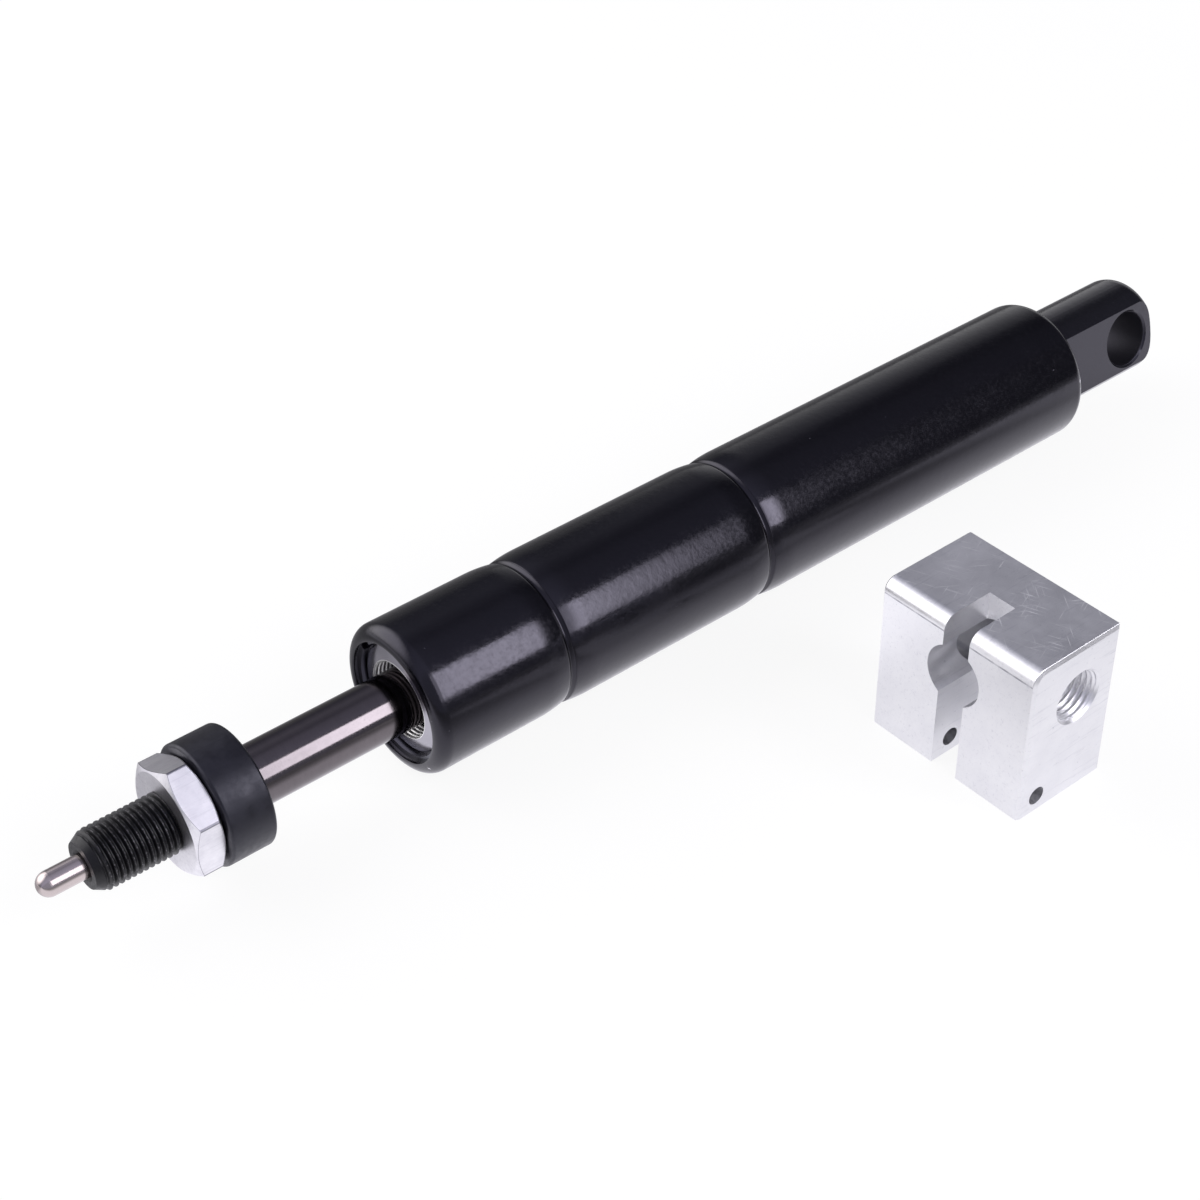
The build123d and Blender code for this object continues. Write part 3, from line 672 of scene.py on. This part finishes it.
# Rod: bare and polished from the piston to the stop ring, threaded from the nut to the nose
spigot_front = ROD_REAR + ROD_SPIGOT_LENGTH
bare_start = spigot_front + EDGE_BREAK
thread_start = NUT_FRONT + EDGE_BREAK
rod_rings = [
    (ROD_REAR, PIN_BORE),
    (ROD_REAR, ROD_SPIGOT_RADIUS),
    (spigot_front, ROD_SPIGOT_RADIUS),
    (spigot_front, ROD_RADIUS - EDGE_BREAK),
    (bare_start, ROD_RADIUS),
]
rod_rings += straight(bare_start, NUT_REAR, 8, ROD_RADIUS)
rod_rings += [(NUT_REAR, ROD_RADIUS), (NUT_REAR, THREAD_CORE), (thread_start, THREAD_CORE)]
count = int(round((ROD_NOSE - thread_start) / THREAD_PITCH * THREAD_ROWS))
for row in range(count + 1):
    x = thread_start + (ROD_NOSE - thread_start) * row / count
    rod_rings.append((x, rod_thread_at(x)))
rod_rings += [(ROD_NOSE, NOSE_MOUTH_RADIUS), (ROD_NOSE - NOSE_MOUTH_DEPTH, PIN_BORE)]
rod = ring_mesh("rod_dressed", rod_rings, 144, rod_steel, thread_black)
for face in rod.data.polygons:
    in_bore = math.hypot(face.center.y, face.center.z) < PIN_BORE + EDGE_BREAK
    if face.center.x > NUT_REAR - EDGE_BREAK or in_bore:
        face.material_index = 1
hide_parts("piston_rod")
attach(rod, "rod")

# Thread inside the head's side hole, built along X from its mouth and turned to run along -Y
hole_rings = []
for row in range(int(HEAD_THREAD_TURNS * INSIDE_THREAD_ROWS) + 1):
    depth = row / INSIDE_THREAD_ROWS * THREAD_PITCH
    ridge = HEAD_THREAD_RIDGE * min(1.0, row / HEAD_THREAD_FADE_ROWS)
    hole_rings.append((depth, inside_thread_at(-depth, THREAD_PITCH, HEAD_THREAD_WALL, ridge)))
hole_rings += [(HEAD_THREAD_TURNS * THREAD_PITCH, HEAD_THREAD_OUTSIDE), (0.0, HEAD_THREAD_OUTSIDE)]
hole_thread = ring_mesh("head_hole_thread", hole_rings, 96, alloy)
hole_x = HEAD_LOW.x + HEAD_HOLE_SETBACK
hole_y = HEAD_HIGH.y - HEAD_HOLE_CHAMFER
hole_z = HEAD_HIGH.z - HEAD_HOLE_BELOW_TOP
for vertex in hole_thread.data.vertices:
    along, across, up = vertex.co
    vertex.co = (hole_x + across, hole_y - along, hole_z + up)
hole_thread.data.update()
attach(hole_thread, "head")


# Floor, world and lamps. The paint and the bright metal show little but their surroundings, so the
# floor's and the world's brightness in reflections is set apart from the white that the camera sees.

# Brightness of the floor in reflections: at most FLOOR_LEVEL, less behind the spring, and falling
# with the distance from the spring's axis. MIRRORED_SHARE of a reflection is this, the rest is paper.
FLOOR_LEVEL = 1.4
BEHIND_SHARE = 0.42
MIRRORED_SHARE = 0.80
MIRRORED_HUE = (0.95, 0.94, 1.0, 1)
FLOOR_FALL = (
    (0.0, 1.0),
    (0.020, 1.0),
    (0.026, 0.95),
    (0.032, 0.76),
    (0.045, 0.42),
    (0.075, 0.20),
    (0.130, 0.14),
)
FLOOR_REACH = FLOOR_FALL[-1][0]
FLOOR_CENTRE = (0.1, 0.0, FLOOR_Z)

# Brighter patches round the head, between it and the spring, behind the nut and beside the eye:
# brightness, and the patch's edges as (axis, where it starts, where it is full)
FLOOR_PATCHES = (
    (1.0, (("X", 0.038, 0.050), ("X", 0.134, 0.122), ("Y", 0.036, 0.050), ("Y", 0.150, 0.120))),
    (1.0, (("X", 0.098, 0.102), ("X", 0.130, 0.120), ("Y", 0.014, 0.026), ("Y", 0.060, 0.050))),
    (1.0, (("X", 0.195, 0.225), ("X", 0.500, 0.400), ("Y", -0.500, -0.400), ("Y", -0.025, -0.045))),
    (1.5, (("X", -0.120, -0.090), ("X", 0.055, -0.030), ("Y", 0.012, 0.030), ("Y", 0.150, 0.110))),
)

# Colour of the surroundings in reflections, by the turn about X from +Y (0) over +Z (0.5) to -Y (1)
SURROUNDINGS = (
    (0.00, (0.32, 0.32, 0.38)),
    (0.30, (0.34, 0.34, 0.42)),
    (0.36, (0.44, 0.44, 0.56)),
    (0.52, (0.36, 0.36, 0.45)),
    (0.60, (0.23, 0.23, 0.29)),
    (0.72, (0.33, 0.33, 0.40)),
    (0.84, (0.18, 0.18, 0.23)),
    (0.97, (0.06, 0.06, 0.07)),
)

# What the camera sees of the floor: mostly white, with the paper's shadows near the object only
WHITE = (1.0, 1.0, 1.0, 1)
SEEN_LEVEL = 1.05
NEAR_WHITE_SHARE = 0.85
SHADOWS_FADE_FROM, SHADOWS_END = 0.25, 0.70


def stage_floor():
    """Pale paper that takes the object's shadow, and fades to white far from it."""
    bpy.ops.mesh.primitive_plane_add(size=6.0, location=FLOOR_CENTRE)
    floor = bpy.context.object
    floor.name = "floor"
    material = bpy.data.materials.new("floor_paper")
    material.use_nodes = True
    n = Nodes(material.node_tree)
    n.tree.nodes.clear()
    place = n.add("ShaderNodeNewGeometry").outputs["Position"]
    across = n.parts(place)
    seen, mirrored = n.rays()

    from_spring = n.math("DIVIDE", n.math("ABSOLUTE", across["Y"]), FLOOR_REACH)
    level = n.ramp(from_spring, [(distance / FLOOR_REACH, share) for distance, share in FLOOR_FALL])
    level = n.product(level, FLOOR_LEVEL, n.span(across["Y"], -0.012, 0.0, BEHIND_SHARE, 1.0))
    for brightness, edges in FLOOR_PATCHES:
        patch = n.product(*[n.span(across[axis], low, high, smooth=True) for axis, low, high in edges])
        level = n.math("MAXIMUM", level, n.product(patch, brightness))

    white = n.add("ShaderNodeEmission")
    n.feed(white.inputs["Color"], n.blend(seen, MIRRORED_HUE, WHITE))
    n.feed(white.inputs["Strength"], n.span(seen, 0.0, 1.0, level, SEEN_LEVEL))
    paper = n.add("ShaderNodeBsdfDiffuse")
    n.feed(paper.inputs["Color"], (0.90, 0.90, 0.91, 1))
    away = n.vector("DISTANCE", place, FLOOR_CENTRE)
    white_share = n.span(away, SHADOWS_FADE_FROM, SHADOWS_END, NEAR_WHITE_SHARE, 1.0)
    amount = n.math("MAXIMUM", n.product(seen, white_share), n.product(mirrored, MIRRORED_SHARE))
    mix = n.add("ShaderNodeMixShader")
    n.feed(mix.inputs[0], amount)
    n.feed(mix.inputs[1], paper.outputs[0])
    n.feed(mix.inputs[2], white.outputs[0])
    n.feed(n.add("ShaderNodeOutputMaterial").inputs["Surface"], mix.outputs[0])
    floor.data.materials.append(material)


def studio_world():
    """White behind everything; in reflections, a dim room with a glow at the horizon and at the rear."""
    world = bpy.data.worlds.new("studio")
    bpy.context.scene.world = world
    world.use_nodes = True
    n = Nodes(world.node_tree)
    n.tree.nodes.clear()
    way = n.parts(n.add("ShaderNodeTexCoord").outputs["Generated"])
    seen, mirrored = n.rays()

    # The turn about X from +Y to -Y, from 0 to 1; the room is dimmer towards the eye's end
    turn = n.math("DIVIDE", n.math("ARCTAN2", way["Z"], way["Y"]), math.pi)
    along = n.span(way["X"], -0.68, -0.22, 0.30, 1.25)
    room = n.vector("MULTIPLY", n.ramp(turn, SURROUNDINGS), along)

    # A faint line at the horizon on the -Y side, and a glow over it beyond the eye's end
    horizon = n.span(turn, 0.86, 0.99, 0.0, 0.16, smooth=True)
    rear = n.product(n.span(turn, 0.67, 0.88, 0.0, 0.80), n.span(way["X"], -0.50, -0.72))
    room = n.vector("ADD", n.vector("ADD", room, horizon), rear)

    background = n.add("ShaderNodeBackground")
    lit = n.blend(mirrored, (0.28, 0.28, 0.30, 1), room)
    n.feed(background.inputs["Color"], n.blend(seen, lit, WHITE))
    n.feed(n.add("ShaderNodeOutputWorld").inputs["Surface"], background.outputs[0])


def softbox(name, centre, aim, size, watts, tint, fade=None, soft=None):
    """A rectangular lamp; fade dims it along X by (x, brightness), soft from its centre by distance."""
    data = bpy.data.lights.new(name, "AREA")
    data.shape = "RECTANGLE"
    data.size, data.size_y = size
    data.energy = watts
    data.color = tint
    data.use_nodes = True
    n = Nodes(data.node_tree)
    place = n.add("ShaderNodeNewGeometry").outputs["Position"]
    if fade:
        low, high = fade[0][0], fade[-1][0]
        steps = [((x - low) / (high - low), level) for x, level in fade]
        strength = n.ramp(n.span(n.parts(place)["X"], low, high), steps)
    else:
        full, none = soft
        strength = n.span(n.vector("DISTANCE", place, centre), full, none, 1.0, 0.0, smooth=True)
    n.feed(n.tree.nodes["Emission"].inputs["Strength"], strength)
    lamp = bpy.data.objects.new(name, data)
    lamp.location = centre
    direction = Vector(aim) - Vector(centre)
    lamp.rotation_euler = direction.to_track_quat("-Z", "Y").to_euler()
    bpy.context.scene.collection.objects.link(lamp)


stage_floor()
studio_world()
softbox(
    "side_softbox",
    centre=(-0.15, 0.65, 0.465),
    aim=(-0.15, 0.0, 0.0),
    size=(0.80, 0.56),
    watts=10.5,
    tint=(0.97, 0.95, 1.0),
    fade=(
        (-0.55, 0.0),
        (-0.46, 0.02),
        (-0.41, 0.05),
        (-0.35, 0.46),
        (-0.27, 1.0),
        (-0.14, 0.72),
        (-0.05, 0.25),
        (0.25, 0.30),
    ),
)
softbox(
    "front_softbox",
    centre=(0.50, -0.54, 0.36),
    aim=(0.12, 0.03, 0.0),
    size=(1.40, 1.30),
    watts=13.5,
    tint=(1.0, 0.98, 0.98),
    soft=(0.20, 0.75),
)

# Camera: place, direction, roll and lens are the ones fitted to the photograph
camera_place = Vector((0.31351, 0.23169, 0.23455))
forward = Vector((-0.4970, -0.6082, -0.6189)).normalized()
level_right = Vector((-0.7744, 0.6327, 0.0)).normalized()
level_down = forward.cross(level_right)
roll = math.radians(0.95)
right = level_right * math.cos(roll) + level_down * math.sin(roll)
down = level_down * math.cos(roll) - level_right * math.sin(roll)
lens = bpy.data.cameras.new("camera")
lens.sensor_width = 36.0
lens.lens = 69.37
lens.clip_start = 0.01
camera = bpy.data.objects.new("camera", lens)
camera.matrix_world = Matrix((
    (right.x, -down.x, -forward.x, camera_place.x),
    (right.y, -down.y, -forward.y, camera_place.y),
    (right.z, -down.z, -forward.z, camera_place.z),
    (0, 0, 0, 1),
))
bpy.context.scene.collection.objects.link(camera)
bpy.context.scene.camera = camera
bpy.context.scene.view_settings.view_transform = "Standard"
